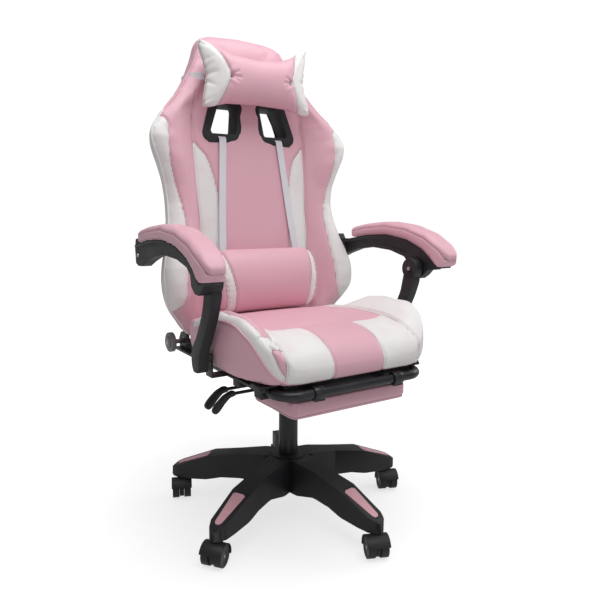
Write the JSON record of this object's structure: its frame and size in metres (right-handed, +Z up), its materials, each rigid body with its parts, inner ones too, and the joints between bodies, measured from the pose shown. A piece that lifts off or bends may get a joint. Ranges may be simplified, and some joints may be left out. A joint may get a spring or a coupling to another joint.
{
  "type": "gaming chair",
  "caption": "Swivel chair with winged high back, bolstered seat, padded linked armrests, pull-out footrest, headrest and lumbar pillows on a star base with casters.",
  "frame": {"origin": "where the column's axis meets the floor", "axes": "+Z up, -Y towards the front of the seat, +X towards the sitter's left"},
  "size_m": [0.706, 0.6868, 1.2524],
  "materials": {
    "pink_leather": "satin synthetic leather with a fine pebble grain",
    "white_leather": "satin synthetic leather with a fine pebble grain",
    "pink_plastic": "satin moulded plastic",
    "black_plastic": "fine textured moulded nylon",
    "black_painted_steel": "semi-gloss powder coat",
    "bright_steel": "zinc plated",
    "grey_plastic": "satin moulded plastic",
    "white_elastic": "woven elastic webbing",
    "black_webbing": "woven elastic webbing"
  },
  "bodies": {
    "base": {"star_base": "black_plastic", "leg_inserts": "pink_plastic", "column_tube": "black_painted_steel", "column_bush": "grey_plastic"},
    "piston": {"piston_rod": "bright_steel", "thrust_bearing": "bright_steel"},
    "mechanism": {"gas_cylinder": "black_painted_steel", "mech_housing": "black_painted_steel", "tilt_pin": "bright_steel", "tension_spring": "bright_steel"},
    "tension_knob": {"tension_knob": "black_plastic"},
    "height_lever": {"height_lever": "black_plastic"},
    "tilt_lever": {"tilt_lever": "black_plastic"},
    "seat": {"mech_plate": "black_painted_steel", "seat_frame": "black_painted_steel", "seat_webbing": "black_webbing", "seat_cushion": "pink_leather", "footrest_guides": "black_plastic", "recline_brackets": "black_painted_steel", "recline_pins": "bright_steel", "recliner_covers": "grey_plastic", "strut_bolts": "bright_steel"},
    "recline_lever": {"recline_lever": "black_plastic"},
    "back": {"back_frame": "black_painted_steel", "back_brackets": "black_painted_steel", "back_pad": "pink_leather", "back_cover": "pink_leather", "window_trims": "black_plastic", "headrest_pillow": "pink_leather", "headrest_strap": "white_elastic", "arm_pins": "bright_steel", "lumbar_straps": "white_elastic"},
    "lumbar": {"lumbar_pillow": "pink_leather"},
    "strut_left": {"strut_l": "black_plastic", "hub_pin_l": "bright_steel"},
    "strut_right": {"strut_r": "black_plastic", "hub_pin_r": "bright_steel"},
    "arm_left": {"arm_beam_l": "black_plastic", "arm_pad_l": "pink_leather"},
    "arm_right": {"arm_beam_r": "black_plastic", "arm_pad_r": "pink_leather"},
    "footrest_slide": {"footrest_tube": "black_painted_steel"},
    "footrest_flap": {"footrest_clamps": "black_painted_steel", "footrest_board": "black_plastic", "footrest_pad": "pink_leather"},
    "caster_1": {"caster_hood_1": "black_plastic", "caster_stem_1": "bright_steel"},
    "wheels_1": {"caster_wheels_1": "black_plastic"},
    "caster_2": {"caster_hood_2": "black_plastic", "caster_stem_2": "bright_steel"},
    "wheels_2": {"caster_wheels_2": "black_plastic"},
    "caster_3": {"caster_hood_3": "black_plastic", "caster_stem_3": "bright_steel"},
    "wheels_3": {"caster_wheels_3": "black_plastic"},
    "caster_4": {"caster_hood_4": "black_plastic", "caster_stem_4": "bright_steel"},
    "wheels_4": {"caster_wheels_4": "black_plastic"},
    "caster_5": {"caster_hood_5": "black_plastic", "caster_stem_5": "bright_steel"},
    "wheels_5": {"caster_wheels_5": "black_plastic"}
  },
  "joints": [
    {"name": "seat_swivel", "type": "hinge", "parent": "base", "child": "piston", "pos_m": [0, 0, 0.3], "axis": [0, 0, 1], "continuous": true},
    {"name": "seat_height", "type": "slide", "parent": "piston", "child": "mechanism", "axis": [0, 0, 1], "range_m": [-0.03, 0.05]},
    {"name": "tension_knob_turn", "type": "hinge", "parent": "mechanism", "child": "tension_knob", "pos_m": [0, -0.056, 0.33], "axis": [0, 0, 1], "range_deg": [0, 720]},
    {"name": "height_lever_lift", "type": "hinge", "parent": "mechanism", "child": "height_lever", "pos_m": [-0.1, -0.034, 0.364], "axis": [-1, 0, 0], "range_deg": [0, 12], "stiffness_Nm_per_rad": 4},
    {"name": "tilt_lever_pull", "type": "slide", "parent": "mechanism", "child": "tilt_lever", "axis": [-1, 0, 0], "range_m": [0, 0.012]},
    {"name": "seat_tilt", "type": "hinge", "parent": "mechanism", "child": "seat", "pos_m": [0, -0.062, 0.384], "axis": [-1, 0, 0], "range_deg": [0, 10]},
    {"name": "recline", "type": "hinge", "parent": "seat", "child": "back", "pos_m": [0, 0.197, 0.44], "axis": [-1, 0, 0], "range_deg": [0, 40]},
    {"name": "recline_lever_lift", "type": "hinge", "parent": "seat", "child": "recline_lever", "pos_m": [0.26, 0.157, 0.445], "axis": [-1, 0, 0], "range_deg": [0, 20], "stiffness_Nm_per_rad": 3},
    {"name": "lumbar_height", "type": "slide", "parent": "back", "child": "lumbar", "axis": [0, 0.1426, 0.9898], "range_m": [0, 0.08], "deforming": ["lumbar_straps"]},
    {"name": "strut_left_pivot", "type": "hinge", "parent": "seat", "child": "strut_left", "pos_m": [0.28, -0.078, 0.454], "axis": [-1, 0, 0], "range_deg": [0, 45]},
    {"name": "strut_right_pivot", "type": "hinge", "parent": "seat", "child": "strut_right", "pos_m": [-0.28, -0.078, 0.454], "axis": [-1, 0, 0], "range_deg": [0, 45]},
    {"name": "arm_left_pivot", "type": "hinge", "parent": "back", "child": "arm_left", "pos_m": [0.309, 0.21, 0.671], "axis": [-1, 0, 0], "range_deg": [-32, 0]},
    {"name": "arm_right_pivot", "type": "hinge", "parent": "back", "child": "arm_right", "pos_m": [-0.309, 0.21, 0.671], "axis": [-1, 0, 0], "range_deg": [-32, 0]},
    {"name": "footrest_pull", "type": "slide", "parent": "seat", "child": "footrest_slide", "axis": [0, -1, 0], "range_m": [0, 0.2]},
    {"name": "footrest_flip", "type": "hinge", "parent": "footrest_slide", "child": "footrest_flap", "pos_m": [0, -0.29, 0.409], "axis": [-1, 0, 0], "range_deg": [0, 180]},
    {"name": "caster_1_swivel", "type": "hinge", "parent": "base", "child": "caster_1", "pos_m": [0.30124, -0.04771, 0.06], "axis": [0, 0, 1], "continuous": true},
    {"name": "caster_1_roll", "type": "hinge", "parent": "caster_1", "child": "wheels_1", "pos_m": [0.29311, -0.06598, 0.025], "axis": [0.9135, -0.4067, 0], "continuous": true},
    {"name": "caster_2_swivel", "type": "hinge", "parent": "base", "child": "caster_2", "pos_m": [0.13847, 0.27176, 0.06], "axis": [0, 0, 1], "continuous": true},
    {"name": "caster_2_roll", "type": "hinge", "parent": "caster_2", "child": "wheels_2", "pos_m": [0.12847, 0.25444, 0.025], "axis": [0.866, -0.5, 0], "continuous": true},
    {"name": "caster_3_swivel", "type": "hinge", "parent": "base", "child": "caster_3", "pos_m": [-0.21567, 0.21567, 0.06], "axis": [0, 0, 1], "continuous": true},
    {"name": "caster_3_roll", "type": "hinge", "parent": "caster_3", "child": "wheels_3", "pos_m": [-0.22316, 0.19712, 0.025], "axis": [0.9272, -0.3746, 0], "continuous": true},
    {"name": "caster_4_swivel", "type": "hinge", "parent": "base", "child": "caster_4", "pos_m": [-0.27176, -0.13847, 0.06], "axis": [0, 0, 1], "continuous": true},
    {"name": "caster_4_roll", "type": "hinge", "parent": "caster_4", "child": "wheels_4", "pos_m": [-0.28752, -0.15078, 0.025], "axis": [0.6157, -0.788, 0], "continuous": true},
    {"name": "caster_5_swivel", "type": "hinge", "parent": "base", "child": "caster_5", "pos_m": [0.04771, -0.30124, 0.06], "axis": [0, 0, 1], "continuous": true},
    {"name": "caster_5_roll", "type": "hinge", "parent": "caster_5", "child": "wheels_5", "pos_m": [0.0399, -0.31966, 0.025], "axis": [0.9205, -0.3907, 0], "continuous": true}
  ],
  "couplings": [
    {"joint": "strut_left_pivot", "follows": "recline", "ratio": 1.071},
    {"joint": "strut_right_pivot", "follows": "recline", "ratio": 1.071},
    {"joint": "arm_left_pivot", "follows": "recline", "ratio": -0.753},
    {"joint": "arm_right_pivot", "follows": "recline", "ratio": -0.753}
  ]
}
